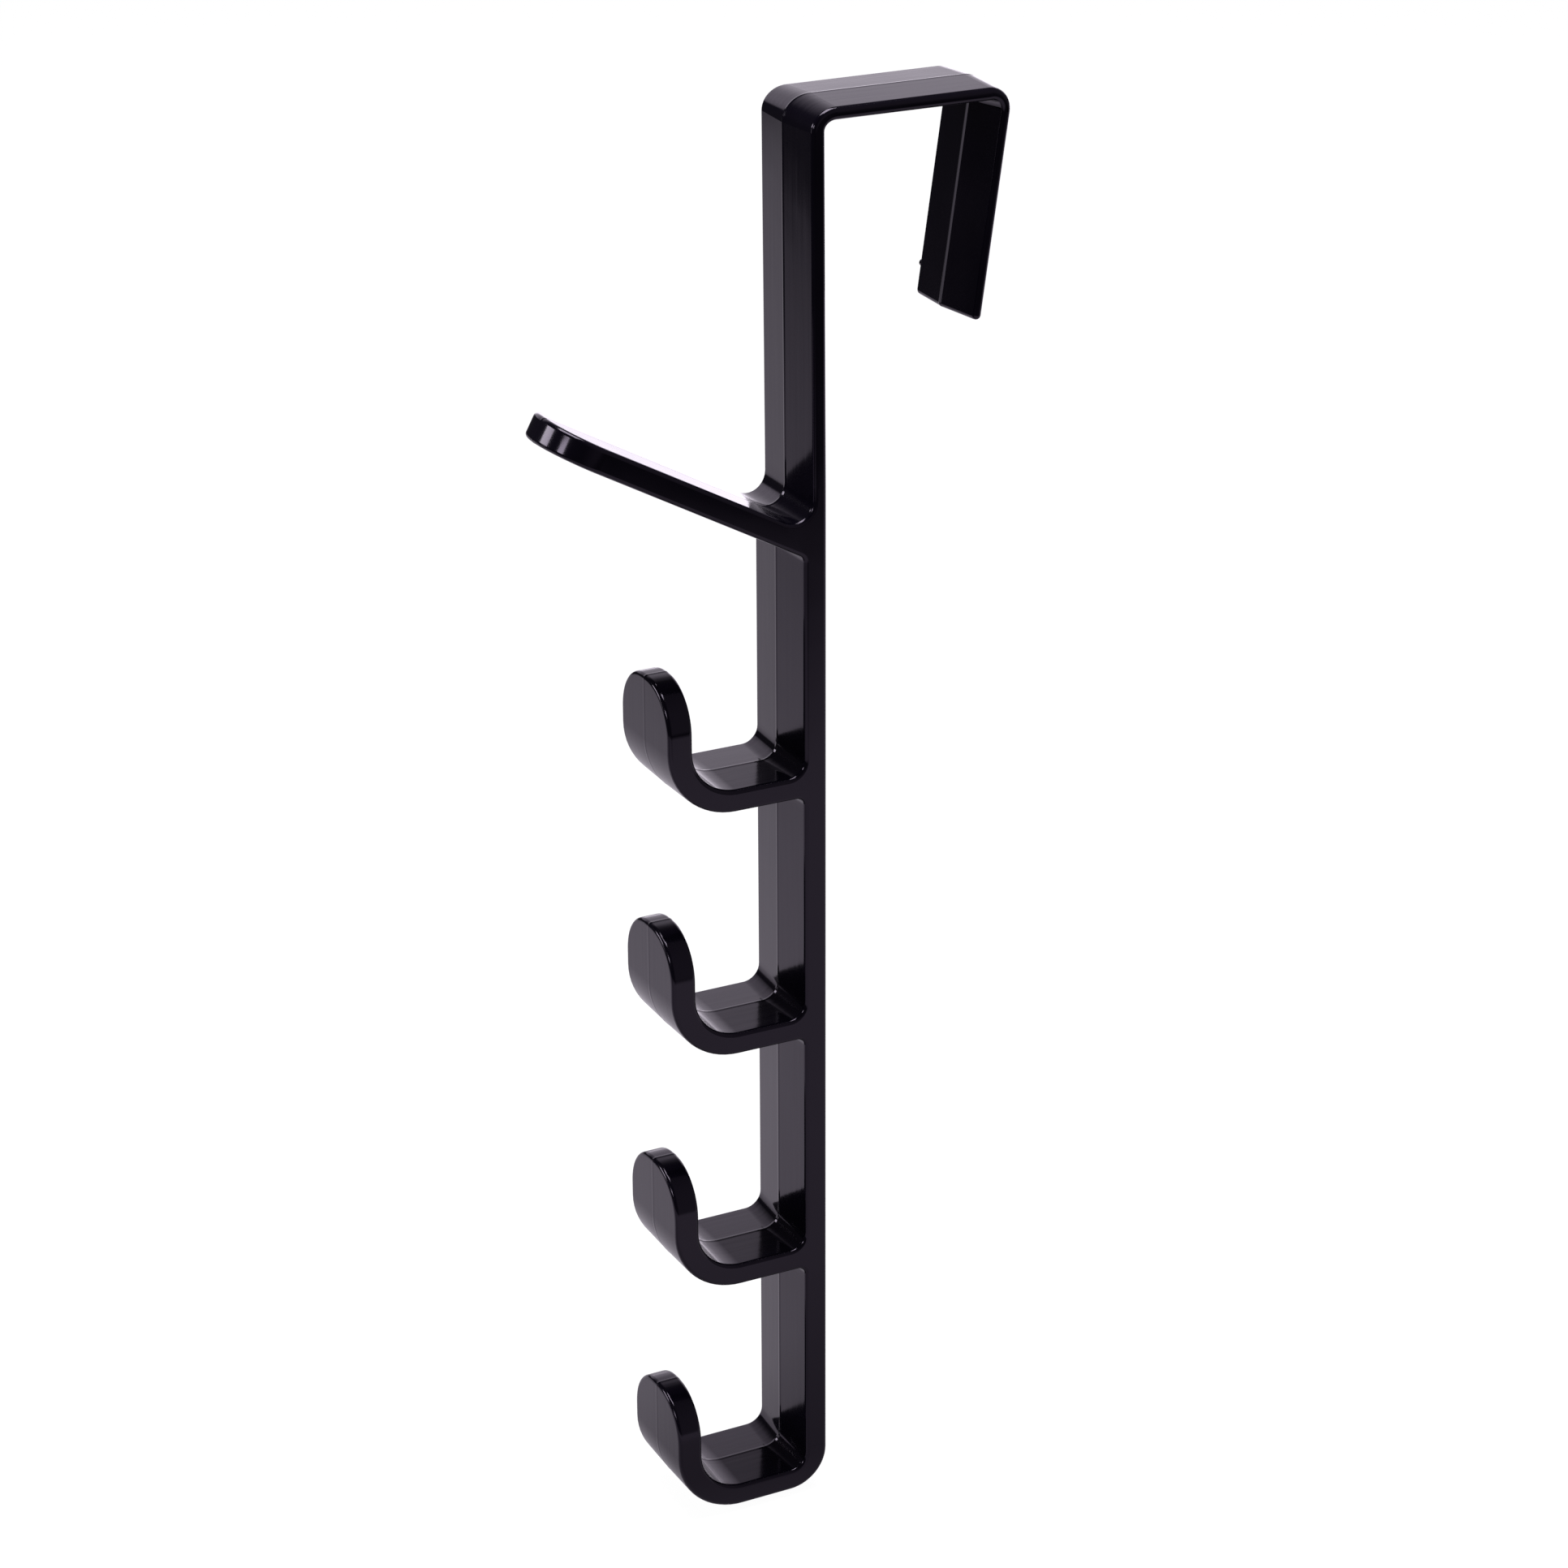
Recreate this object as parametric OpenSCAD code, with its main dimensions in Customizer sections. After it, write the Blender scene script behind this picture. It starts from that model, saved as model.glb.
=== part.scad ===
// Over-the-door hook rack, moulded in one go from gloss black plastic.
// The moulding is one strip of constant width. It parts into the regions that a maker would name:
// the saddle over the door, its two bends, the leg behind the door, the spine, the long arm
// and four hooks. Each region is a closed solid, and neighbours meet face to face.
// The mould opens sideways at mid-width, so every long face rises from both edges to a narrow land.

/* [Strip] */
// Width of the strip, which every region shares
strip_w = 25; // [20:0.5:36]
// Width of the flat land at the middle of each long face
land_w = 2; // [1:0.25:4]
// How far each long face rises from the edges to its land
rise = 0.75; // [0.2:0.05:0.9]
// Rounding along the long edges
edge_r = 0.8; // [0.3:0.05:0.95]

/* [Door grip] */
// Clear gap over the door, from the spine's back to the leg, at the saddle
door_gap = 41.5; // [34:0.1:60]
// Thickness of the saddle, its bends, the leg and the upper spine, at the edges
strap_t = 2.5; // [2:0.1:4]
// Inside radius of both bends, at the edges
bend_r = 2.6; // [1.8:0.1:5]
// Lean of the leg towards the door, in degrees
leg_lean = 8.2; // [0:0.2:12]
// Straight length of the leg
leg_length = 46.5; // [25:0.1:80]
// Corner radius at the leg's lower end
leg_corner_r = 1.2; // [0.5:0.1:4]
// Diameter of the gate mark on the leg's edge
gate_d = 1.6; // [1:0.1:2]
// Height of the gate mark
gate_h = 0.3; // [0.2:0.05:1]
// Distance of the gate mark from the leg's lower end
gate_from_end = 7; // [4:0.5:20]

/* [Spine] */
// Thickness of the spine below the arm, at the edges
lower_t = 5.2; // [4.2:0.05:8]
// Outside radius where the spine turns into the last hook
heel_r = 9.7; // [9:0.1:12]

/* [Arm] */
// Depth below the door's top at which the arm's underside meets the spine
arm_drop = 96.85; // [70:0.05:130]
// Rise of the arm above level, in degrees
arm_angle = 28.7; // [15:0.1:40]
// Thickness of the arm and the hooks, at the edges
limb_t = 5.3; // [4.6:0.1:7]
// Length of the arm along its underside, up to where its end starts to round off
arm_length = 56.7; // [40:0.1:80]
// Fillet above the arm's root
arm_top_r = 6; // [3:0.25:7]
// Fillet below the arm's root
arm_under_r = 2; // [1:0.25:4]

/* [Hooks] */
// Depth below the door's top of the first hook's underside
hook_drop = 154.4; // [140:0.05:180]
// Distance from one hook to the next
hook_pitch = 60.7; // [50:0.1:80]
// Clear depth of a hook, from the spine to its upright tab
hook_throat = 28.9; // [22:0.05:40]
// Inside radius of a hook
hook_r = 11.4; // [7:0.2:14]
// Height of a hook from its underside to the top of its tab
hook_h = 31.4; // [29:0.2:45]
// Fillet at the root of a hook, on its floor
root_top_r = 4; // [2:0.25:5]
// Fillet at the root of a hook, on its underside
root_under_r = 2; // [1:0.25:4]

/* [Hidden] */
$fn = 64;

// How far a fillet is sunk into its neighbours, and how far it bites into a slanted face
sink = 1.2;
bite = 0.02;
// How far an edge's rounding stands proud of its faces, so that it crosses them cleanly
lap = 0.002;
// Spine left above and below the fillets of a hook or the arm
station_margin = 1.5;

// Radius that rounds a tab's end off, and the slope of a long face up to its land
tip_r = (strip_w - land_w) / 2;
draft = atan(rise / tip_r);
// From an edge to the centre of its rounding, measured through the thickness
round_in = snap(edge_r * (1 - sin(draft)) / cos(draft));

// Side view: y runs from the door's face, where the spine's back land lies against it,
// and z runs from the door's top, where the saddle's underside land rests on it
back_y = -rise;
upper_front_y = back_y - strap_t;
front_y = back_y - lower_t;
bend_z = rise - bend_r;
front_bend_y = back_y + bend_r;
leg_line_y = door_gap + rise / cos(leg_lean);
rear_bend_y = leg_line_y + bend_z * tan(leg_lean) - bend_r / cos(leg_lean);
seat_y = snap((front_bend_y + rear_bend_y) / 2);
hook_out_r = hook_r + limb_t;
hook_centre_y = front_y - hook_throat + hook_r;
arm_root_z = -arm_drop;
arm_knee_z = arm_root_z + limb_t / 2;
arm_top_z = arm_root_z + limb_t / cos(arm_angle) - (lower_t - strap_t) * tan(arm_angle);
station_up = limb_t + root_top_r + station_margin;
station_down = root_under_r + station_margin;

// A length to the nearest ten-thousandth, so that mirrored outlines meet exactly
function snap(v) = round(v * 10000) / 10000;
function hook_z(k) = -hook_drop - (k - 1) * hook_pitch;
function polar(r, a) = [r * cos(a), r * sin(a)];
// Where the line through p at angle a crosses the line through q at angle b
function meet(p, a, q, b) =
    p + ((q[0] - p[0]) * sin(b) - (q[1] - p[1]) * cos(b)) / sin(b - a) * [cos(a), sin(a)];
// Centre of a fillet of radius r between an upright face at y and a slanted face through [y, z],
// on the slanted face's upper side (up = 1) or its under side (up = -1)
function arm_cove(r, y, z, up) = let (
    c = meet(
        [y - r + bite, 0], 90,
        [y, z] + up * polar(r - bite, 90 - arm_angle), 180 - arm_angle
    )
) [snap(c[0]), snap(c[1])];

arm_top_cove = arm_cove(arm_top_r, upper_front_y, arm_top_z, 1);
arm_under_cove = arm_cove(arm_under_r, front_y, arm_root_z, -1);
arm_station_top = arm_top_cove[1] + station_margin;
arm_station_foot = arm_under_cove[1] - station_margin;

// Turns the side view (y, z, width) into the object's frame, with the seat's centre at the origin
module rack_frame() {
    translate([0, -seat_y, 0])
        rotate([90, 0, 90])
            children();
}

// Cross-section of the strip: x is thickness from the edge plane, y is width
module section(t) {
    side = strip_w / 2;
    slope_x = snap(edge_r * cos(draft) - round_in);
    slope_y = snap(side - edge_r + edge_r * sin(draft));
    half = [
        [round_in, side - lap], [lap - slope_x, slope_y], [-rise, land_w / 2],
        [-rise, -land_w / 2], [lap - slope_x, -slope_y], [round_in, lap - side]
    ];
    polygon(concat(half, [for (i = [len(half) - 1:-1:0]) [t - half[i][0], half[i][1]]]));
    for (x = [round_in, t - round_in], y = [-1, 1])
        translate([x, y * (side - edge_r)])
            circle(r = edge_r);
}

// Half of the cross-section, from the land's edge out to the strip's edge: x is width, y is thickness
module rim(t) {
    intersection() {
        translate([-land_w / 2, 0])
            mirror([1, -1, 0])
                section(t);
        translate([0, -t])
            square([strip_w, 3 * t]);
    }
}

// Straight piece that runs down from its origin, with its thickness along +x
module bar(t, length) {
    rotate([90, 0, 0])
        linear_extrude(height = length)
            section(t);
}

// Bend about its origin, round by an angle from a start angle, with inside radius r at the edges
module bend(t, r, angle, start = 0) {
    rotate_extrude(angle = angle, start = start)
        translate([r, 0])
            section(t);
}

// Rounded end that carries on upwards from a bar
module tip(t) {
    for (side = [0, 1])
        mirror([0, 0, side])
            translate([0, 0, land_w / 2])
                rotate([90, 0, 90])
                    rotate_extrude(angle = 90)
                        rim(t);
    translate([0, 0, -land_w / 2])
        linear_extrude(height = land_w)
            mirror([1, -1, 0])
                rim(t);
}

// Hollow fillet about its origin, between a face at angle 0 and a face at the given angle
module cove(r, angle) {
    reach = r + sink;
    corner = reach / cos(angle / 2);
    intersection() {
        bend(corner - r + 2 * sink, r, angle);
        translate([0, 0, -strip_w])
            linear_extrude(height = 2 * strip_w)
                polygon([[0, 0], polar(reach, 0), polar(corner, angle / 2), polar(reach, angle)]);
    }
}

// Length of spine between two heights
module spine(t, top_z, foot_z) {
    translate([back_y - t, top_z])
        bar(t, top_z - foot_z);
}

// Limb that runs level from x, away from the door, with its underside at z = 0
module limb(from_x, length) {
    translate([from_x, limb_t])
        rotate(-90)
            bar(limb_t, length);
}

// Hook on its length of spine, with its underside at z = 0
module hook_body(foot) {
    inside_x = front_y + lower_t / 2;
    tip_z = hook_h - tip_r;
    spine(lower_t, station_up, foot);
    limb(inside_x, inside_x - hook_centre_y);
    translate([hook_centre_y, hook_out_r])
        bend(limb_t, hook_r, 90, 180);
    translate([hook_centre_y - hook_out_r, tip_z]) {
        bar(limb_t, tip_z - hook_out_r);
        tip(limb_t);
    }
    translate([front_y - root_top_r, limb_t + root_top_r])
        rotate(-90)
            cove(root_top_r, 90);
}

// Hook with the spine running on below it
module hook(k) {
    color("#17151a")
        rack_frame()
            translate([0, hook_z(k)]) {
                hook_body(-station_down);
                translate([front_y - root_under_r, -root_under_r])
                    cove(root_under_r, 90);
            }
}

// Last hook: the spine ends in a round heel
module heel_hook(k) {
    color("#17151a")
        rack_frame()
            translate([0, hook_z(k)])
                difference() {
                    union() {
                        hook_body(0);
                        limb(back_y, back_y - front_y);
                    }
                    translate([back_y - heel_r, heel_r])
                        difference() {
                            translate([0, -2 * heel_r, -strip_w])
                                cube([2 * heel_r, 2 * heel_r, 2 * strip_w]);
                            heel();
                        }
                }
}

// Quarter of a round bar about its origin, below and behind it, with the strip's section
module heel() {
    rotate_extrude(angle = 90, start = -90)
        intersection() {
            translate([-heel_r, 0])
                section(2 * heel_r);
            translate([0, -strip_w])
                square(2 * strip_w);
        }
}

// Straight spine between two stations
module spine_link(k) {
    top_z = k == 1 ? arm_station_foot : hook_z(k - 1) - station_down;
    color("#1d1b20")
        rack_frame()
            spine(lower_t, top_z, hook_z(k) + station_up);
}

// Bar over the top of the door
module door_saddle() {
    color("#2a272d")
        rack_frame()
            translate([front_bend_y, rise])
                rotate(90)
                    bar(strap_t, rear_bend_y - front_bend_y);
}

// Bend at the front of the door
module front_bend() {
    color("#201e23")
        rack_frame()
            translate([front_bend_y, bend_z])
                rotate(90)
                    bend(strap_t, bend_r, 90);
}

// Bend at the back of the door
module rear_bend() {
    color("#201e23")
        rack_frame()
            translate([rear_bend_y, bend_z])
                rotate(-leg_lean)
                    bend(strap_t, bend_r, 90 + leg_lean);
}

// Leg behind the door, with the gate mark on its edge
module door_leg() {
    color("#17151a")
        rack_frame()
            translate([rear_bend_y, bend_z])
                rotate(-leg_lean)
                    translate([bend_r, 0]) {
                        intersection() {
                            bar(strap_t, leg_length);
                            leg_outline();
                        }
                        translate([strap_t / 2, gate_from_end - leg_length, -strip_w / 2 - gate_h])
                            cylinder(d = gate_d, h = gate_h + edge_r);
                    }
}

// Outline of the leg as seen from the door, cut square with small corner radii
module leg_outline() {
    side = strip_w / 2 - leg_corner_r;
    foot = -leg_length + leg_corner_r;
    translate([-strap_t, 0])
        rotate([0, 90, 0])
            linear_extrude(height = 3 * strap_t) {
                for (x = [-side, side])
                    translate([x, foot])
                        circle(r = leg_corner_r);
                translate([-strip_w / 2, foot])
                    square([strip_w, -foot]);
                translate([-side, -leg_length])
                    square([2 * side, leg_length]);
            }
}

// Thin spine above the arm
module upper_spine() {
    color("#1d1b20")
        rack_frame()
            spine(strap_t, bend_z, arm_station_top);
}

// Long arm on its length of spine, which steps from thin to thick there
module long_arm() {
    run_in = lower_t + limb_t;
    color("#17151a")
        rack_frame() {
            spine(strap_t, arm_station_top, arm_knee_z - sink);
            spine(lower_t, arm_knee_z, arm_station_foot);
            intersection() {
                translate([front_y, arm_root_z])
                    rotate(-arm_angle) {
                        limb(run_in, run_in + arm_length);
                        translate([-arm_length, 0]) {
                            rotate(90)
                                tip(limb_t);
                            arm_core();
                        }
                    }
                translate([back_y - strap_t / 2 - 2 * arm_length, -2 * arm_drop, -strip_w])
                    cube([2 * arm_length, 2 * arm_drop, 2 * strip_w]);
            }
            translate(arm_top_cove)
                rotate(-90 - arm_angle)
                    cove(arm_top_r, 90 + arm_angle);
            translate(arm_under_cove)
                cove(arm_under_r, 90 - arm_angle);
        }
}

// Core inside the arm, which carries it on into its rounded end at any length
module arm_core() {
    translate([-sink, limb_t / 4, -strip_w / 4])
        cube([2 * sink, limb_t / 2, strip_w / 2]);
}

door_saddle();
front_bend();
rear_bend();
door_leg();
upper_spine();
long_arm();
spine_link(1);  // spine_link_1
spine_link(2);  // spine_link_2
spine_link(3);  // spine_link_3
spine_link(4);  // spine_link_4
hook(1);  // hook_1
hook(2);  // hook_2
hook(3);  // hook_3
heel_hook(4);  // hook_4
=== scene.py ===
import math

import bmesh
import bpy
from mathutils import Matrix, Vector


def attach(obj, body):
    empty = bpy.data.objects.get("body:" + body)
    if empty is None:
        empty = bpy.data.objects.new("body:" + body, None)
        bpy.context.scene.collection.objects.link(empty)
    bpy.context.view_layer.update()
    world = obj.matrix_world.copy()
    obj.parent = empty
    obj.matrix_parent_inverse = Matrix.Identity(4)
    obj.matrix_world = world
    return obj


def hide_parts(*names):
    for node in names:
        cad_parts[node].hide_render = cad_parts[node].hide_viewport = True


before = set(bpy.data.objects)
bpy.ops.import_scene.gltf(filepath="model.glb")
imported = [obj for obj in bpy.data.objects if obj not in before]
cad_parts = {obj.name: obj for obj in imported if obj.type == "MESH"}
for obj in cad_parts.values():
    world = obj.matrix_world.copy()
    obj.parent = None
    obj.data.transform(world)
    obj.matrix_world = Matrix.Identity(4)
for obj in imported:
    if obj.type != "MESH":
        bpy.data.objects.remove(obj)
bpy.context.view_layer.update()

# The rack is one injection moulding in gloss black ABS. Each piece below stands for one region
# of it and is modelled in millimetres in the side view of part.scad: x across the strip, y from
# the door's face back over its top, and z up from its top. The last step of a piece brings it
# to metres and puts the origin at the middle of the saddle's underside.
MM = 0.001
SEAT_Y = 20.6072

# Strip: half its width, half the width of the parting line, and the radius of its edges
HALF = 12.5
RIDGE_HALF = 0.6
EDGE_R = 1.0
# Its faces in the side view, at the strip's edges
BACK_Y = -0.6
UPPER_FRONT_Y = -3.75
FRONT_Y = -6.12

# How far each long face rises from the strip's edges to its ridge
RISE_BACK = 0.6
RISE_UNDER = 0.45
RISE_SPINE = 0.95
RISE_SADDLE = 0.53
RISE_LEG = 2.0
RISE_TAB = 0.12
RISE_HOOK_FLOOR = 0.4
RISE_ARM = 0.15
# The parting line stands this far above the ridge, and a share of the rise more
BEAD = 0.04
BEAD_SHARE = 0.075

# Door grip: centres of the two bends, and their radii inside and outside
BEND_Z = -1.85
FRONT_BEND_Y = 1.85
REAR_BEND_Y = 39.364
BEND_IN = 2.3
BEND_OUT = 5.1
# How far the spine has leant out at its top, below the front bend
LEAN_OUT = 0.38
# The leg's inner face, from the rear bend's centre, along its near side and its far side
LEG_IN = 3.25
LEG_IN_FAR = 2.0
LEG_LEAN = math.radians(8.2)
LEG_LENGTH = 46.5
LEG_CORNER = 1.2
# Gate mark on the leg's far edge: its radius, how far it stands out, its whole depth, and how
# far it is from the leg's end and from the inner face
GATE_R = 0.8
GATE_SIDES = 20
GATE_OUT = 0.3
GATE_DEPTH = 1.1
GATE_FROM_END = 7.0
GATE_FROM_FACE = 0.9

# Arm, along its underside from the spine's front
ARM_ROOT_Z = -97.1
ARM_ANGLE = math.radians(28.7)
ARM_T = 5.7
ARM_LENGTH = 67.8
ARM_TIP_R = 11.3
ARM_STATION_TOP = -81.0
ARM_STATION_FOOT = -99.5
# Fillets above and below its root, 4.6 mm and 2 mm in radius: how far from the corner each
# starts, and the bevel's profile that comes nearest to a round one
ARM_TOP_FILLET = 7.7648
ARM_TOP_PROFILE = 0.447
ARM_UNDER_FILLET = 1.186
ARM_UNDER_PROFILE = 0.54

# Hooks: heights of their undersides, from the first one down, and sizes of one
FIRST_HOOK_Z = -154.7
HOOK_PITCH = 60.7
HOOK_Z = [FIRST_HOOK_Z - HOOK_PITCH * k for k in range(4)]
HOOK_T = 5.35
HOOK_R = 11.3
HOOK_CENTRE_Y = -23.45
# The hook thickens by this much from its floor to its tab, on the inside
TAB_EXTRA = 0.65
HOOK_TOP = 31.4
HOOK_TIP_R = 11.0
HOOK_ROOT_R = 4.0
HOOK_UNDER_R = 2.0
HOOK_STATION_UP = 10.8
HOOK_STATION_DOWN = -3.5
HEEL_R = 9.7

# Steps round each curve
RIM_STEPS = 5
TIP_STEPS = 18
CORNER_STEPS = 6
FRONT_BEND_STEPS = 12
REAR_BEND_STEPS = 13
HOOK_STEPS = 16
ROOT_STEPS = 8
ARM_ROOT_STEPS = 10
HEEL_STEPS = 14

# A point is found within the first distance of its place, and points within the second are
# merged
NEAR = 0.02
MERGE = 0.002
# How far the ridge can be from an edge's place, and a free end's corners from its middle
RIDGE_REACH = 1.9
END_REACH = 4.0
# A face looks along a direction when its normal has more than this share of it
ALIGNED = 0.9
# Sine of the turn between two faces below which they belong to one curve
CURVE_TURN = 0.35
# Turns between two faces: up to the first they are one flat face, up to the second they are
# shaded as one surface, and beyond the third their edge is rounded
FLAT_TURN = math.radians(0.5)
SMOOTH_TURN = math.radians(32)
SHARP_TURN = math.radians(50)
# Directions in the side view, across a seam
LEVEL_SEAM = (0, 1)
UPRIGHT_SEAM = (1, 0)


# Tools for the piece that is open in edit mode

def pick(kind, wanted):
    """Selects the vertices or edges of the open mesh whose corners pass a test."""
    bpy.ops.mesh.select_mode(type=kind)
    bpy.ops.mesh.select_all(action="DESELECT")
    mesh = bmesh.from_edit_mesh(bpy.context.object.data)
    for item in {"VERT": mesh.verts, "EDGE": mesh.edges}[kind]:
        corners = [item.co] if kind == "VERT" else [v.co for v in item.verts]
        if wanted(corners):
            item.select_set(True)
    mesh.select_flush_mode()
    bmesh.update_edit_mesh(bpy.context.object.data)


def at(*places):
    """Test for corners that all lie on one of some (y, z) places."""
    return lambda corners: all(
        any(abs(c.y - y) < NEAR and abs(c.z - z) < NEAR for y, z in places) for c in corners
    )


def side_plane(name, low, high):
    """Starts a piece as the side view of a straight stretch of strip, and opens it for editing."""
    bpy.ops.object.select_all(action="DESELECT")
    bpy.ops.mesh.primitive_plane_add(
        size=1,
        location=(HALF, (low[0] + high[0]) / 2, (low[1] + high[1]) / 2),
        rotation=(0, math.pi / 2, 0),
    )
    piece = bpy.context.object
    piece.name = name
    piece.scale = (high[1] - low[1], high[0] - low[0], 1)
    bpy.ops.object.transform_apply(location=True, rotation=True, scale=True)
    bpy.ops.object.mode_set(mode="EDIT")
    return piece


def lone_edge(name, a, b):
    """Starts a piece as a level or upright edge: a plane 1 mm deep with its far side deleted."""
    level = abs(a[1] - b[1]) < NEAR
    piece = side_plane(name, a, (b[0], b[1] + 1) if level else (b[0] + 1, b[1]))
    pick("VERT", lambda c: c[0].z > b[1] + NEAR if level else c[0].y > b[0] + NEAR)
    bpy.ops.mesh.delete(type="VERT")
    return piece


def split_at(z):
    """Cuts the open side view across at a height."""
    bpy.ops.mesh.select_all(action="SELECT")
    bpy.ops.mesh.bisect(plane_co=(0, 0, z), plane_no=(0, 0, 1))


def draw_out(edge, dy, dz):
    """Extrudes the edge between two places and returns its new places."""
    pick("EDGE", at(*edge))
    bpy.ops.mesh.extrude_region_move(TRANSFORM_OT_translate={"value": (0, dy, dz)})
    return [(y + dy, z + dz) for y, z in edge]


def shift(place, dy, dz):
    """Moves the vertices at a place."""
    pick("VERT", at(place))
    bpy.ops.transform.translate(value=(0, dy, dz))


def turn_out(edge, centre, angle, steps):
    """Spins the edge between two places about a centre. A positive angle turns y towards z."""
    pick("EDGE", at(*edge))
    bpy.ops.mesh.spin(steps=steps, angle=angle, center=(HALF, *centre), axis=(-1, 0, 0))


def polar(centre, radius, angle):
    """The place at a distance and an angle from a centre, in the side view."""
    return (centre[0] + radius * math.cos(angle), centre[1] + radius * math.sin(angle))


def widen():
    """Makes the side view one face and extrudes it across the strip, with the ridge's lines."""
    bpy.ops.mesh.select_all(action="SELECT")
    bpy.ops.mesh.remove_doubles(threshold=MERGE)
    bpy.ops.mesh.dissolve_limited(angle_limit=FLAT_TURN)
    bpy.ops.mesh.select_mode(type="FACE")
    for width in (HALF - RIDGE_HALF, RIDGE_HALF, RIDGE_HALF, HALF - RIDGE_HALF):
        bpy.ops.mesh.extrude_region_move(TRANSFORM_OT_translate={"value": (-width, 0, 0)})
    bpy.ops.mesh.select_all(action="SELECT")
    bpy.ops.mesh.normals_make_consistent(inside=False)


def outline():
    """The places round the near side of the open mesh, in order."""
    mesh = bmesh.from_edit_mesh(bpy.context.object.data)
    side = next(f for f in mesh.faces if all(abs(v.co.x - HALF) < NEAR for v in f.verts))
    places = [Vector((v.co.y, v.co.z)) for v in side.verts]
    area = sum(a.x * b.y - a.y * b.x for a, b in zip(places, places[1:] + places[:1]))
    if area < 0:
        places.reverse()
    return places


def raise_ridge(rise):
    """Moves the ridge out by rise(middle, normal) of the faces on both sides of a place."""
    places = outline()
    walls = []
    for a, b in zip(places, places[1:] + places[:1]):
        along = (b - a).normalized()
        normal = Vector((along.y, -along.x))
        walls.append((normal, rise((a + b) / 2, normal)))
    moves = []
    for k in range(len(places)):
        # Normal and rise of the face before the place, and of the one after it
        (n, r), (m, s) = walls[k - 1], walls[k]
        turn = n.x * m.y - n.y * m.x
        # On a curve the place moves along the mean normal, and at a corner to where both
        # raised faces meet
        if abs(turn) < CURVE_TURN:
            mean = (n + m).normalized()
            moves.append(mean * ((r + s) / 2 / mean.dot(m)))
        else:
            moves.append(Vector(((r * m.y - s * n.y) / turn, (s * n.x - r * m.x) / turn)))
    for place, move in zip(places, moves):
        if move.length > NEAR:
            pick("VERT", lambda c: abs(c[0].x) < HALF - NEAR and at(place)(c))
            bpy.ops.transform.translate(value=(0, move.x, move.y))
            pick("VERT", lambda c: abs(c[0].x) < NEAR and at(place + move)(c))
            bead = move * (BEAD / move.length + BEAD_SHARE)
            bpy.ops.transform.translate(value=(0, bead.x, bead.y))


def bevel(offset, steps, profile=0.5):
    """Rounds the selected edges."""
    bpy.ops.mesh.bevel(
        offset=offset, offset_type="OFFSET", segments=steps, profile=profile,
        affect="EDGES", clamp_overlap=False,
    )


def round_across(place, offset, steps, profile=0.5):
    """Rounds the edge that runs across the strip at a place, on the ridge as well."""
    y, z = place
    pick(
        "EDGE",
        lambda c: abs(c[0].x - c[1].x) > NEAR
        and all(math.hypot(v.y - y, v.z - z) < RIDGE_REACH for v in c),
    )
    bevel(offset, steps, profile)


def round_end(middle, radius, steps):
    """Rounds the two corners of a free end, found by the end's middle."""
    y, z = middle
    pick(
        "EDGE",
        lambda c: c[0].x * c[1].x > 0
        and all(abs(abs(v.x) - HALF) < NEAR for v in c)
        and all(math.hypot(v.y - y, v.z - z) < END_REACH for v in c),
    )
    bevel(radius, steps)


def round_rim(seams):
    """Rounds every long edge. Seams are (place, normal) of the flat ends that meet a neighbour."""
    bpy.ops.mesh.select_mode(type="EDGE")
    bpy.ops.mesh.select_all(action="DESELECT")
    bpy.ops.mesh.edges_select_sharp(sharpness=SHARP_TURN)
    mesh = bmesh.from_edit_mesh(bpy.context.object.data)
    for edge in mesh.edges:
        for (y, z), (dy, dz) in seams:
            if all(abs((v.co.y - y) * dy + (v.co.z - z) * dz) < NEAR for v in edge.verts):
                edge.select_set(False)
    bmesh.update_edit_mesh(bpy.context.object.data)
    bevel(EDGE_R, RIM_STEPS)


def finish_piece(piece):
    """Marks the parting line, brings the piece to metres and to the origin, and smooths it."""
    bpy.ops.mesh.select_all(action="SELECT")
    bpy.ops.mesh.remove_doubles(threshold=MERGE)
    bpy.ops.mesh.dissolve_degenerate(threshold=MERGE)
    pick(
        "EDGE",
        lambda c: abs(c[0].x - c[1].x) < NEAR
        and (abs(c[0].x) < NEAR or abs(abs(c[0].x) - RIDGE_HALF) < NEAR),
    )
    bpy.ops.mesh.mark_sharp()
    bpy.ops.mesh.select_all(action="SELECT")
    bpy.ops.mesh.normals_make_consistent(inside=False)
    bpy.ops.transform.translate(value=(0, -SEAT_Y, 0))
    bpy.ops.transform.resize(value=(MM, MM, MM), center_override=(0, 0, 0))
    bpy.ops.object.mode_set(mode="OBJECT")
    bpy.ops.object.shade_smooth_by_angle(angle=SMOOTH_TURN, keep_sharp_edges=True)
    modifier = piece.modifiers.new("flat faces stay flat", "WEIGHTED_NORMAL")
    modifier.keep_sharp = True
    bpy.ops.object.modifier_apply(modifier=modifier.name)
    return piece


def copy_down(piece, name, drop):
    """A copy of a finished piece with its own mesh, lower by a number of millimetres."""
    bpy.ops.object.select_all(action="DESELECT")
    piece.select_set(True)
    bpy.context.view_layer.objects.active = piece
    bpy.ops.object.duplicate(linked=False)
    copy = bpy.context.object
    copy.name = name
    bpy.ops.object.mode_set(mode="EDIT")
    bpy.ops.mesh.select_all(action="SELECT")
    bpy.ops.transform.translate(value=(0, 0, -drop * MM))
    bpy.ops.object.mode_set(mode="OBJECT")
    return copy


# The regions of the moulding. In each, rise says how far the ridge stands up on a face.

def spine_rise(middle, normal):
    """Ridge along the front and back of the spine, and none on its cut ends."""
    if abs(normal.y) > ALIGNED:
        return 0
    return RISE_BACK if normal.x > 0 else RISE_SPINE


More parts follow.
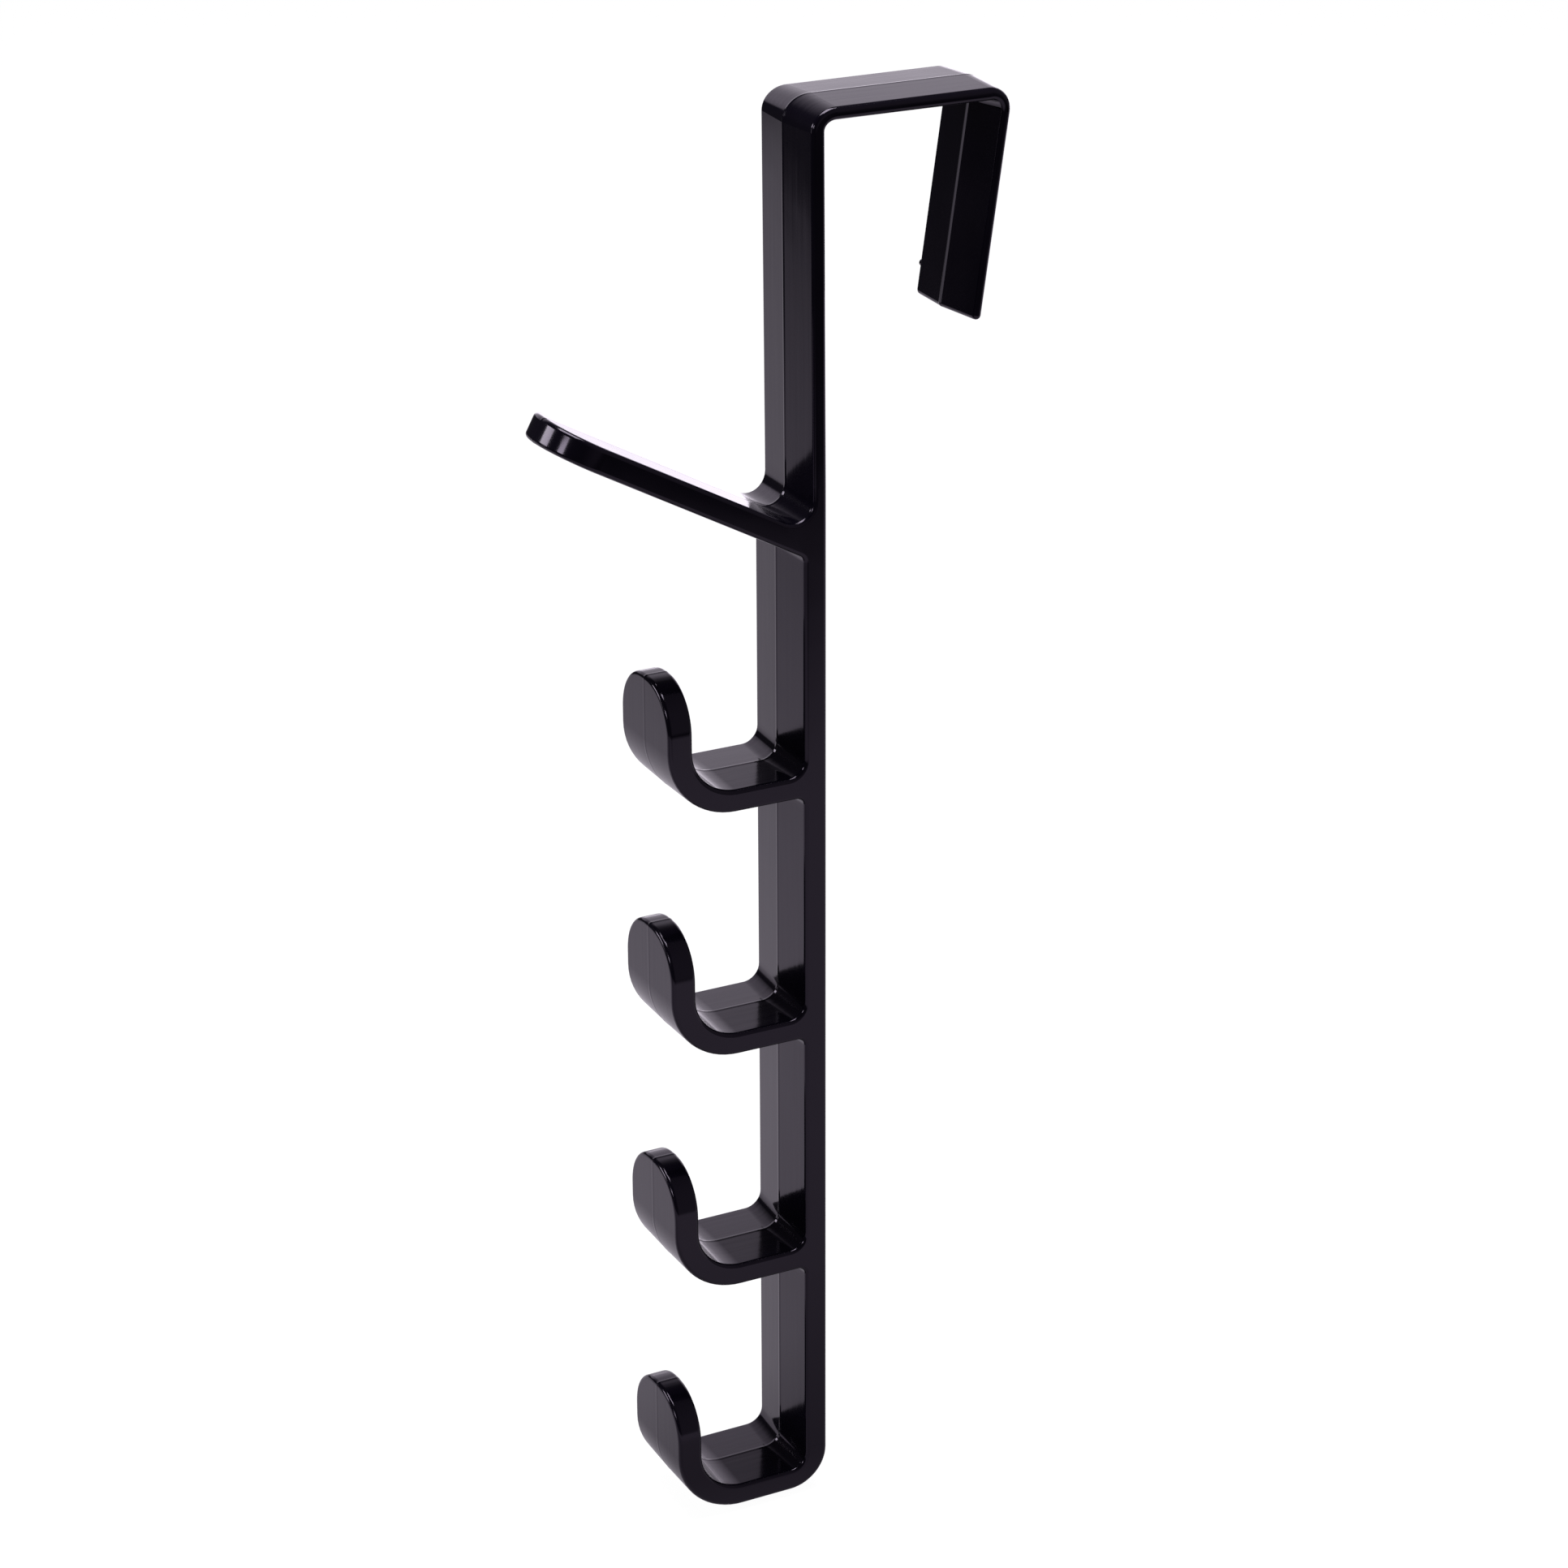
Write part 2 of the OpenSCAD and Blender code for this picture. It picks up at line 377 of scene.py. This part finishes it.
def make_spine_link(name, top, foot):
    """Straight length of the thick spine."""
    piece = side_plane(name, (FRONT_Y, foot), (BACK_Y, top))
    widen()
    raise_ridge(spine_rise)
    round_rim([((0, top), LEVEL_SEAM), ((0, foot), LEVEL_SEAM)])
    return finish_piece(piece)


def make_upper_spine(name):
    """Thin spine above the arm, which leans out a little towards the top."""
    piece = side_plane(name, (UPPER_FRONT_Y, ARM_STATION_TOP), (BACK_Y, BEND_Z))
    for y in (UPPER_FRONT_Y, BACK_Y):
        shift((y, BEND_Z), -LEAN_OUT, 0)
    widen()
    raise_ridge(spine_rise)
    round_rim([((0, BEND_Z), LEVEL_SEAM), ((0, ARM_STATION_TOP), LEVEL_SEAM)])
    return finish_piece(piece)


def make_saddle(name):
    """Flat bar over the top of the door."""
    piece = side_plane(name, (FRONT_BEND_Y, BEND_Z + BEND_IN), (REAR_BEND_Y, BEND_Z + BEND_OUT))
    widen()

    def rise(middle, normal):
        if abs(normal.x) > ALIGNED:
            return 0
        return RISE_SADDLE if normal.y > 0 else RISE_UNDER

    raise_ridge(rise)
    round_rim([((FRONT_BEND_Y, 0), UPRIGHT_SEAM), ((REAR_BEND_Y, 0), UPRIGHT_SEAM)])
    return finish_piece(piece)


def make_front_bend(name):
    """Bend from the spine to the saddle."""
    centre = (FRONT_BEND_Y, BEND_Z)
    edge = [(FRONT_BEND_Y - BEND_OUT, BEND_Z), (FRONT_BEND_Y - BEND_IN, BEND_Z)]
    piece = lone_edge(name, *edge)
    turn_out(edge, centre, -math.pi / 2, FRONT_BEND_STEPS)
    # Both arcs are drawn out to the front, where they meet the faces of the leaning spine
    reach = {
        BEND_OUT: FRONT_BEND_Y - UPPER_FRONT_Y + LEAN_OUT,
        BEND_IN: FRONT_BEND_Y - BACK_Y + LEAN_OUT,
    }
    for k in range(FRONT_BEND_STEPS):
        angle = math.pi - math.pi / 2 * k / FRONT_BEND_STEPS
        for radius, drawn in reach.items():
            shift(polar(centre, radius, angle), (drawn - radius) * math.cos(angle), 0)
    widen()

    def rise(middle, normal):
        inward = Vector(centre) - middle
        if abs(inward.normalized().dot(normal)) < ALIGNED:
            return 0
        share = math.atan2(middle.y - BEND_Z, FRONT_BEND_Y - middle.x) / (math.pi / 2)
        if inward.dot(normal) > 0:
            return RISE_BACK + (RISE_UNDER - RISE_BACK) * share
        return RISE_SPINE + (RISE_SADDLE - RISE_SPINE) * share

    raise_ridge(rise)
    round_rim([((0, BEND_Z), LEVEL_SEAM), ((FRONT_BEND_Y, 0), UPRIGHT_SEAM)])
    return finish_piece(piece)


def fill_far_side(place, out, share):
    """Moves the leg's inner face in along its far side, at a place of the side view."""
    pick("VERT", lambda c: c[0].x < NEAR - HALF and at(place)(c))
    fill = (LEG_IN_FAR - LEG_IN) * share
    bpy.ops.transform.translate(value=(0, out[0] * fill, out[1] * fill))


def make_rear_bend(name):
    """Bend from the saddle to the leg, which thins towards the leg along its near side."""
    centre = (REAR_BEND_Y, BEND_Z)
    edge = [(REAR_BEND_Y, BEND_Z + BEND_IN), (REAR_BEND_Y, BEND_Z + BEND_OUT)]
    piece = lone_edge(name, *edge)
    sweep = math.pi / 2 + LEG_LEAN
    turn_out(edge, centre, -sweep, REAR_BEND_STEPS)
    stations = [
        (k / REAR_BEND_STEPS, math.pi / 2 - sweep * k / REAR_BEND_STEPS)
        for k in range(1, REAR_BEND_STEPS + 1)
    ]
    for share, angle in stations:
        place = polar(centre, BEND_IN, angle)
        new = polar(centre, BEND_IN + (LEG_IN - BEND_IN) * share, angle)
        shift(place, new[0] - place[0], new[1] - place[1])
    widen()
    for share, angle in stations:
        place = polar(centre, BEND_IN + (LEG_IN - BEND_IN) * share, angle)
        fill_far_side(place, polar((0, 0), 1, angle), share)

    def rise(middle, normal):
        out = middle - Vector(centre)
        if abs(out.normalized().dot(normal)) < ALIGNED:
            return 0
        share = (math.pi / 2 - math.atan2(out.y, out.x)) / sweep
        if out.dot(normal) > 0:
            return RISE_SADDLE + (RISE_BACK - RISE_SADDLE) * share
        return RISE_UNDER + (RISE_LEG - RISE_UNDER) * share

    raise_ridge(rise)
    foot = (math.sin(LEG_LEAN), math.cos(LEG_LEAN))
    round_rim([((REAR_BEND_Y, 0), UPRIGHT_SEAM), (centre, foot)])
    return finish_piece(piece)


def make_leg(name):
    """Leg behind the door, with its corners rounded and the gate mark on its far edge."""
    centre = Vector((REAR_BEND_Y, BEND_Z))
    out = Vector((math.cos(LEG_LEAN), -math.sin(LEG_LEAN)))
    down = Vector((-math.sin(LEG_LEAN), -math.cos(LEG_LEAN)))
    inner = centre + out * LEG_IN
    outer = centre + out * BEND_OUT
    piece = lone_edge(name, (inner.x, 0), (outer.x, 0))
    shift((inner.x, 0), 0, inner.y)
    shift((outer.x, 0), 0, outer.y)
    end = draw_out([tuple(inner), tuple(outer)], *(down * LEG_LENGTH))
    widen()

    def rise(middle, normal):
        if abs(normal.dot(down)) > ALIGNED:
            return 0
        return RISE_BACK if normal.dot(out) > 0 else RISE_LEG

    raise_ridge(rise)
    for place in (tuple(inner), end[0]):
        fill_far_side(place, out, 1)
    round_end((Vector(end[0]) + Vector(end[1])) / 2, LEG_CORNER, CORNER_STEPS)
    round_rim([(tuple(centre), (down.x, down.y))])
    gate = centre + out * (LEG_IN_FAR + GATE_FROM_FACE) + down * (LEG_LENGTH - GATE_FROM_END)
    bpy.ops.mesh.primitive_cylinder_add(
        vertices=GATE_SIDES, radius=GATE_R, depth=GATE_DEPTH,
        location=(-HALF - GATE_OUT + GATE_DEPTH / 2, gate.x, gate.y),
        rotation=(0, math.pi / 2, 0),
    )
    return finish_piece(piece)


def make_arm(name):
    """Long arm on its length of spine, which steps from thin to thick there."""
    root = Vector((FRONT_Y, ARM_ROOT_Z))
    back = (BACK_Y, ARM_ROOT_Z)
    piece = side_plane(name, (FRONT_Y, ARM_STATION_FOOT), back)
    along = Vector((-math.cos(ARM_ANGLE), math.sin(ARM_ANGLE)))
    square = Vector((math.sin(ARM_ANGLE), math.cos(ARM_ANGLE)))
    # The arm's top face, squarely above its root, and where it meets the thin spine's front
    upper = root + square * ARM_T
    top = upper + along * ((UPPER_FRONT_Y - upper.x) / along.x)
    knee = draw_out([tuple(root), back], 0, top.y - ARM_ROOT_Z)
    shift(knee[0], top.x - knee[0][0], 0)
    draw_out([tuple(top), knee[1]], 0, ARM_STATION_TOP - top.y)
    end = draw_out([tuple(root), tuple(top)], *(along * ARM_LENGTH))
    tip = root + along * ARM_LENGTH
    upper_tip = upper + along * ARM_LENGTH
    shift(end[1], upper_tip.x - end[1][0], upper_tip.y - end[1][1])
    widen()

    def rise(middle, normal):
        if abs(normal.dot(square)) > ALIGNED or abs(normal.dot(along)) > ALIGNED:
            return RISE_ARM
        return spine_rise(middle, normal)

    raise_ridge(rise)
    round_across(tuple(top), ARM_TOP_FILLET, ARM_ROOT_STEPS, ARM_TOP_PROFILE)
    round_across(tuple(root), ARM_UNDER_FILLET, CORNER_STEPS, ARM_UNDER_PROFILE)
    round_end((tip + upper_tip) / 2, ARM_TIP_R, TIP_STEPS)
    round_rim([((0, ARM_STATION_TOP), LEVEL_SEAM), ((0, ARM_STATION_FOOT), LEVEL_SEAM)])
    return finish_piece(piece)


def hook_rise(foot):
    """Ridge of a hook whose block of spine reaches down to foot, by where a face lies."""
    def rise(middle, normal):
        on_spine = middle.x > FRONT_Y - NEAR
        if on_spine and abs(normal.x) > ALIGNED:
            return spine_rise(middle, normal)
        if on_spine and (normal.y > ALIGNED or middle.y < foot + NEAR and foot < 0):
            return 0
        # The more a face looks up, the more its rise is that of the hook's floor
        return RISE_TAB + (RISE_HOOK_FLOOR - RISE_TAB) * max(0, normal.y) ** 2
    return rise


def make_hook(name, foot, z):
    """Hook with its underside at height z, on a block of spine that reaches down to foot."""
    piece = side_plane(name, (FRONT_Y, foot), (BACK_Y, HOOK_STATION_UP))
    split_at(HOOK_T)
    if foot < 0:
        split_at(0)
    edge = draw_out([(FRONT_Y, 0), (FRONT_Y, HOOK_T)], HOOK_CENTRE_Y - FRONT_Y, 0)
    centre = (HOOK_CENTRE_Y, HOOK_T + HOOK_R)
    turn_out(edge, centre, -math.pi / 2, HOOK_STEPS)
    for k in range(1, HOOK_STEPS + 1):
        angle = -math.pi / 2 * (1 + k / HOOK_STEPS)
        extra = TAB_EXTRA * k / HOOK_STEPS
        shift(polar(centre, HOOK_R, angle), -extra * math.cos(angle), -extra * math.sin(angle))
    out_y = HOOK_CENTRE_Y - HOOK_R - HOOK_T
    in_y = HOOK_CENTRE_Y - HOOK_R + TAB_EXTRA
    draw_out([(out_y, centre[1]), (in_y, centre[1])], 0, HOOK_TOP - centre[1])
    widen()
    raise_ridge(hook_rise(foot))
    round_across((FRONT_Y, HOOK_T), HOOK_ROOT_R, ROOT_STEPS)
    seams = [((0, HOOK_STATION_UP), LEVEL_SEAM)]
    if foot < 0:
        round_across((FRONT_Y, 0), HOOK_UNDER_R, CORNER_STEPS)
        seams.append(((0, foot), LEVEL_SEAM))
    else:
        round_across((BACK_Y, 0), HEEL_R, HEEL_STEPS)
    round_end(((out_y + in_y) / 2, HOOK_TOP), HOOK_TIP_R, TIP_STEPS)
    round_rim(seams)
    bpy.ops.mesh.select_all(action="SELECT")
    bpy.ops.transform.translate(value=(0, 0, z))
    return finish_piece(piece)


# Top and foot of each straight length of spine, from under the arm to above the last hook
links = [(ARM_STATION_FOOT, HOOK_Z[0] + HOOK_STATION_UP)]
links += [(HOOK_Z[k] + HOOK_STATION_DOWN, HOOK_Z[k + 1] + HOOK_STATION_UP) for k in range(3)]

pieces = {
    "door_saddle": make_saddle("saddle_over_the_door"),
    "front_bend": make_front_bend("bend_front"),
    "rear_bend": make_rear_bend("bend_rear"),
    "door_leg": make_leg("leg_behind_the_door"),
    "upper_spine": make_upper_spine("spine_upper"),
    "long_arm": make_arm("arm_long"),
    "spine_link_1": make_spine_link("spine_link_under_arm", *links[0]),
    "spine_link_2": make_spine_link("spine_link_under_hook_1", *links[1]),
    "hook_1": make_hook("hook_top", HOOK_STATION_DOWN, HOOK_Z[0]),
    "hook_4": make_hook("hook_heel", 0, HOOK_Z[3]),
}
# The two middle hooks and the links under them repeat the top ones
for k in (1, 2):
    pieces[f"hook_{k + 1}"] = copy_down(
        pieces["hook_1"], f"hook_{k + 1}_of_4", HOOK_Z[0] - HOOK_Z[k]
    )
    pieces[f"spine_link_{k + 2}"] = copy_down(
        pieces["spine_link_2"], f"spine_link_under_hook_{k + 1}", links[1][0] - links[k + 1][0]
    )


# The plastic

def linear(hex_colour):
    """An sRGB hex colour as linear red, green, blue and alpha."""
    values = [int(hex_colour[i:i + 2], 16) / 255 for i in (1, 3, 5)]
    return [v / 12.92 if v <= 0.04045 else ((v + 0.055) / 1.055) ** 2.4 for v in values] + [1.0]


def add_node(tree, kind, inputs=None, **settings):
    """Adds a node. Its inputs are given by name or number, each with a source or a constant, and
    its settings by the names of its properties and sockets."""
    node = tree.nodes.new(kind)
    for name, value in settings.items():
        if hasattr(node, name):
            setattr(node, name, value)
        else:
            node.inputs[name.replace("_", " ")].default_value = value
    for name, source in (inputs or {}).items():
        if isinstance(source, bpy.types.NodeSocket):
            tree.links.new(source, node.inputs[name])
        else:
            node.inputs[name].default_value = source
    return node


def set_stops(ramp, stops):
    """Gives a colour ramp its stops, from pairs of position and colour or grey level."""
    elements = ramp.color_ramp.elements
    while len(elements) < len(stops):
        elements.new(0.5)
    for element, (position, colour) in zip(elements, stops):
        element.position = position
        element.color = colour if isinstance(colour, list) else (colour, colour, colour, 1)
    return ramp


def gloss_black_abs():
    """ABS, injection moulded against polished steel: deep black, clear soft reflections."""
    material = bpy.data.materials.new("abs_black_moulded_gloss")
    material.use_nodes = True
    tree = material.node_tree
    tree.nodes.clear()
    place = add_node(tree, "ShaderNodeTexCoord").outputs["Object"]
    # Flow lines of the melt, 1.5 mm wide and long along the strip, because x runs across it
    along = add_node(tree, "ShaderNodeMapping", {"Vector": place}, Scale=(1.0, 0.05, 0.05))
    flow = add_node(
        tree, "ShaderNodeTexNoise", {"Vector": along.outputs["Vector"]}, Scale=650.0, Detail=1.0
    )
    # Shrinkage ripple, 8 mm from wave to wave
    ripple = add_node(tree, "ShaderNodeTexNoise", {"Vector": place}, Scale=125.0, Detail=0.0)
    # Handling haze in patches of 20 mm, which dulls the gloss and greys the black a little
    haze = add_node(tree, "ShaderNodeTexNoise", {"Vector": place}, Scale=50.0, Detail=4.0)
    rough = add_node(
        tree, "ShaderNodeMapRange", {"Value": haze.outputs["Fac"]},
        From_Min=0.3, From_Max=0.7, To_Min=0.10, To_Max=0.15,
    )
    tint = set_stops(
        add_node(tree, "ShaderNodeValToRGB", {"Fac": haze.outputs["Fac"]}),
        [(0.3, linear("#080610")), (0.7, linear("#0d0a15"))],
    )
    # Heights of the ripple and of the lines, in metres, at half strength
    wave = add_node(
        tree, "ShaderNodeBump", {"Height": ripple.outputs["Fac"]}, Strength=0.5, Distance=0.00004
    )
    lines = add_node(
        tree, "ShaderNodeBump", {"Height": flow.outputs["Fac"], "Normal": wave.outputs["Normal"]},
        Strength=0.5, Distance=0.00003,
    )
    shader = add_node(
        tree, "ShaderNodeBsdfPrincipled",
        {"Base Color": tint.outputs["Color"], "Roughness": rough.outputs["Result"],
         "Normal": lines.outputs["Normal"]},
        IOR=1.54, Specular_Tint=linear("#f3e4ff"),
    )
    add_node(tree, "ShaderNodeOutputMaterial", {"Surface": shader.outputs["BSDF"]})
    return material


abs_black = gloss_black_abs()
for node, piece in pieces.items():
    piece.data.materials.clear()
    piece.data.materials.append(abs_black)
    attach(piece, "root")
    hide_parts(node)
# The solids that the pieces replace are of the same plastic
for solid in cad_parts.values():
    for slot in solid.material_slots:
        slot.material = abs_black


# The studio, in metres. To the camera all of it is white. The gloss of the object sees a floor
# that glows with painted light, brightest on the left, and a white sweep behind on the left, in a
# dark room.

FLOOR_Z = -0.3385
FLOOR_LEFT, FLOOR_RIGHT, FLOOR_FRONT, FLOOR_BACK = -2.6, 0.68, -0.72, 2.2
# Brightness of the floor's painted light by x: the floor glows with it instead of being lit by the
# lamps
FLOOR_PAINTED_LIGHT = [(-1.45, 0.04), (-1.2, 0.5), (-0.5, 0.56), (-0.2, 0.7), (-0.05, 0.62),
               (0.03, 0.24), (0.12, 0.38), (0.42, 0.42), (0.62, 0.12)]
# Painted glow that is added where the floor meets the sweep
FLOOR_SWEEP = 1.75

# Brightness of the sweep by elevation in degrees
SWEEP = [(-10, 4.0), (0, 2.8), (8, 0.88), (18, 0.86), (23, 0.75), (32, 0.54), (40, 0.22),
         (50, 0.05), (65, 0.0)]
SWEEP_TOP = 4.0
# The way from the object to the middle of the sweep, in degrees from +X towards +Y
SWEEP_WAY = 150
# The faint lilac of the sweep and of the floor's painted light
SWEEP_WHITE = "#faf2ff"
# Brightness of the dark room
ROOM = 0.03

# The photograph's view: lens in mm, place in metres, angles in degrees
LENS = 93.942
CAMERA_PLACE = (0.77105, -0.41624, 0.20841)
CAMERA_AZIMUTH, CAMERA_ELEVATION, CAMERA_ROLL = 63.148, 22.860, -0.227


def pale_floor():
    """Painted board, matt: to the camera an even white that takes the object's soft shadow. To the
    object it glows with painted light, brightest on the left and dimmer towards the front, and
    takes no shadow.
    """
    material = bpy.data.materials.new("board_white_matt")
    material.use_nodes = True
    tree = material.node_tree
    tree.nodes.clear()
    position = add_node(tree, "ShaderNodeTexCoord").outputs["Object"]
    place = add_node(tree, "ShaderNodeSeparateXYZ", {"Vector": position})
    start, stop = FLOOR_PAINTED_LIGHT[0][0], FLOOR_PAINTED_LIGHT[-1][0]
    width = add_node(
        tree, "ShaderNodeMapRange", {"Value": place.outputs["X"]}, From_Min=start, From_Max=stop
    )
    across = set_stops(
        add_node(tree, "ShaderNodeValToRGB", {"Fac": width.outputs["Result"]}),
        [((x - start) / (stop - start), level) for x, level in FLOOR_PAINTED_LIGHT],
    )
    # The painted light falls off towards the front
    to_front = add_node(
        tree, "ShaderNodeMapRange", {"Value": place.outputs["Y"]},
        interpolation_type="SMOOTHSTEP",
        From_Min=-0.85, From_Max=-0.25, To_Min=0.45, To_Max=1.0,
    )
    board = add_node(
        tree, "ShaderNodeMath", {0: across.outputs["Color"], 1: to_front.outputs["Result"]},
        operation="MULTIPLY",
    )
    # Behind the object, on the left, the floor's painted light turns up into the sweep
    to_back = add_node(
        tree, "ShaderNodeMapRange", {"Value": place.outputs["Y"]},
        interpolation_type="SMOOTHSTEP", From_Min=0.25, From_Max=0.65, To_Max=FLOOR_SWEEP,
    )
    to_left = add_node(
        tree, "ShaderNodeMapRange", {"Value": place.outputs["X"]},
        interpolation_type="SMOOTHSTEP", From_Min=-0.7, From_Max=-0.2, To_Min=1.0, To_Max=0.0,
    )
    level = add_node(
        tree, "ShaderNodeMath",
        {0: to_back.outputs["Result"], 1: to_left.outputs["Result"], 2: board.outputs["Value"]},
        operation="MULTIPLY_ADD",
    )
    # The floor's painted light: it glows in the object's gloss and lights it, though the floor is
    # no lamp
    lit = add_node(
        tree, "ShaderNodeEmission", {"Strength": level.outputs["Value"]},
        Color=linear(SWEEP_WHITE),
    )
    # To the camera the board glows white, and its faint grey takes the shadow
    grey = add_node(tree, "ShaderNodeBsdfDiffuse", Color=linear("#6a6a6a"))
    glow = add_node(tree, "ShaderNodeEmission", Color=linear("#ffffff"), Strength=0.97)
    seen = add_node(
        tree, "ShaderNodeAddShader", {0: grey.outputs["BSDF"], 1: glow.outputs["Emission"]}
    )
    ray = add_node(tree, "ShaderNodeLightPath")
    mix = add_node(
        tree, "ShaderNodeMixShader",
        {"Fac": ray.outputs["Is Camera Ray"],
         1: lit.outputs["Emission"], 2: seen.outputs["Shader"]},
    )
    add_node(tree, "ShaderNodeOutputMaterial", {"Surface": mix.outputs["Shader"]})
    return material


def lay_floor():
    """The plain floor under the object and behind it."""
    bpy.ops.object.select_all(action="DESELECT")
    bpy.ops.mesh.primitive_plane_add(
        size=1, location=((FLOOR_LEFT + FLOOR_RIGHT) / 2, (FLOOR_FRONT + FLOOR_BACK) / 2, FLOOR_Z)
    )
    floor = bpy.context.object
    floor.name = "floor"
    floor.scale = (FLOOR_RIGHT - FLOOR_LEFT, FLOOR_BACK - FLOOR_FRONT, 1)
    bpy.ops.object.transform_apply(location=True, rotation=True, scale=True)
    floor.data.materials.append(pale_floor())


def studio_room():
    """The world: white to the camera, and to the object a white sweep in a dark room."""
    world = bpy.data.worlds.new("studio")
    bpy.context.scene.world = world
    world.use_nodes = True
    tree = world.node_tree
    tree.nodes.clear()
    # Turned so that X says how far a direction points at the middle of the sweep
    direction = add_node(tree, "ShaderNodeTexCoord").outputs["Generated"]
    turned = add_node(
        tree, "ShaderNodeMapping", {"Vector": direction},
        Rotation=(0.0, 0.0, -math.radians(SWEEP_WAY)),
    )
    way = add_node(tree, "ShaderNodeSeparateXYZ", {"Vector": turned.outputs["Vector"]})
    up = add_node(tree, "ShaderNodeMapRange", {"Value": way.outputs["Z"]}, From_Min=-1.0)
    rise = set_stops(
        add_node(tree, "ShaderNodeValToRGB", {"Fac": up.outputs["Result"]}),
        [((1 + math.sin(math.radians(angle))) / 2, level / SWEEP_TOP) for angle, level in SWEEP],
    )
    # Near the horizon the sweep is narrower, between dark flats
    narrow = add_node(
        tree, "ShaderNodeMapRange", {"Value": way.outputs["Z"]},
        interpolation_type="SMOOTHSTEP",
        From_Min=0.06, From_Max=0.22, To_Min=-0.36, To_Max=0.0,
    )
    towards = add_node(
        tree, "ShaderNodeMath", {0: way.outputs["X"], 1: narrow.outputs["Result"]},
        operation="ADD",
    )
    across = add_node(
        tree, "ShaderNodeMapRange", {"Value": towards.outputs["Value"]},
        interpolation_type="SMOOTHSTEP", From_Min=0.5, From_Max=0.75, To_Max=SWEEP_TOP,
    )
    sweep = add_node(
        tree, "ShaderNodeMath", {0: rise.outputs["Color"], 1: across.outputs["Result"]},
        operation="MULTIPLY",
    )
    # A grey wall on the right reflects a little of the sweep, down to its foot
    reflected = add_node(
        tree, "ShaderNodeMapRange", {"Value": way.outputs["Y"]},
        interpolation_type="SMOOTHSTEP",
        From_Min=-0.9, From_Max=0.1, To_Min=0.14, To_Max=0.01,
    )
    foot = add_node(
        tree, "ShaderNodeMapRange", {"Value": way.outputs["Z"]},
        interpolation_type="SMOOTHSTEP", From_Min=-0.28, From_Max=-0.12,
    )
    wall = add_node(
        tree, "ShaderNodeMath", {0: reflected.outputs["Result"], 1: foot.outputs["Result"]},
        operation="MULTIPLY",
    )
    lit = add_node(
        tree, "ShaderNodeMath", {0: sweep.outputs["Value"], 1: wall.outputs["Value"]},
        operation="ADD",
    )
    level = add_node(
        tree, "ShaderNodeMath", {0: lit.outputs["Value"], 1: ROOM}, operation="MAXIMUM"
    )
    room = add_node(
        tree, "ShaderNodeBackground", {"Strength": level.outputs["Value"]},
        Color=linear(SWEEP_WHITE),
    )
    white = add_node(tree, "ShaderNodeBackground", Color=linear("#ffffff"), Strength=1.0)
    ray = add_node(tree, "ShaderNodeLightPath")
    mix = add_node(
        tree, "ShaderNodeMixShader",
        {"Fac": ray.outputs["Is Camera Ray"],
         1: room.outputs["Background"], 2: white.outputs["Background"]},
    )
    add_node(tree, "ShaderNodeOutputWorld", {"Surface": mix.outputs["Shader"]})


def softbox(name, place, aim, width, height, radiance):
    """A rectangular lamp that faces a point, with its size and the brightness of its face."""
    lamp = bpy.data.lights.new(name, "AREA")
    lamp.shape = "RECTANGLE"
    lamp.size = width
    lamp.size_y = height
    lamp.energy = math.pi * width * height * radiance
    holder = bpy.data.objects.new(name, lamp)
    bpy.context.scene.collection.objects.link(holder)
    holder.location = place
    holder.rotation_euler = (Vector(aim) - Vector(place)).to_track_quat("-Z", "Y").to_euler()
    holder.visible_camera = False


def set_camera():
    """Camera at the photograph's viewing angle."""
    camera = bpy.data.cameras.new("camera")
    camera.sensor_width = 36
    camera.lens = LENS
    camera.clip_start = 0.01
    camera.clip_end = 20
    holder = bpy.data.objects.new("camera", camera)
    bpy.context.scene.collection.objects.link(holder)
    azimuth = math.radians(CAMERA_AZIMUTH)
    elevation = math.radians(CAMERA_ELEVATION)
    roll = math.radians(CAMERA_ROLL)
    back = Vector((math.sin(azimuth) * math.cos(elevation),
                   -math.cos(azimuth) * math.cos(elevation), math.sin(elevation)))
    level = Vector((math.cos(azimuth), math.sin(azimuth), 0))
    upright = back.cross(level)
    right = level * math.cos(roll) + upright * math.sin(roll)
    up = upright * math.cos(roll) - level * math.sin(roll)
    turn = Matrix((right, up, back)).transposed().to_4x4()
    holder.matrix_world = Matrix.Translation(CAMERA_PLACE) @ turn
    bpy.context.scene.camera = holder


lay_floor()
studio_room()
# Each lamp gives the gloss its small lights: the key and the right one on the arm's tip and
# along the tabs, the low one down the leg's ridge, the overhead one on edges that look up
softbox("softbox_key", (-0.531, -1.079, 0.336), (0, -0.08, -0.065), 0.5, 0.26, 7)
softbox("softbox_low", (-0.54, -1.18, -0.05), (0, 0.02, -0.03), 0.3, 0.3, 1.0)
softbox("softbox_right", (0.42, -1.1, 0.3), (0, -0.05, -0.1), 0.26, 0.2, 7)
softbox("softbox_overhead", (-0.05, -0.05, 1.0), (0, -0.02, -0.16), 0.7, 0.7, 7)
set_camera()

bpy.context.scene.view_settings.view_transform = "Standard"
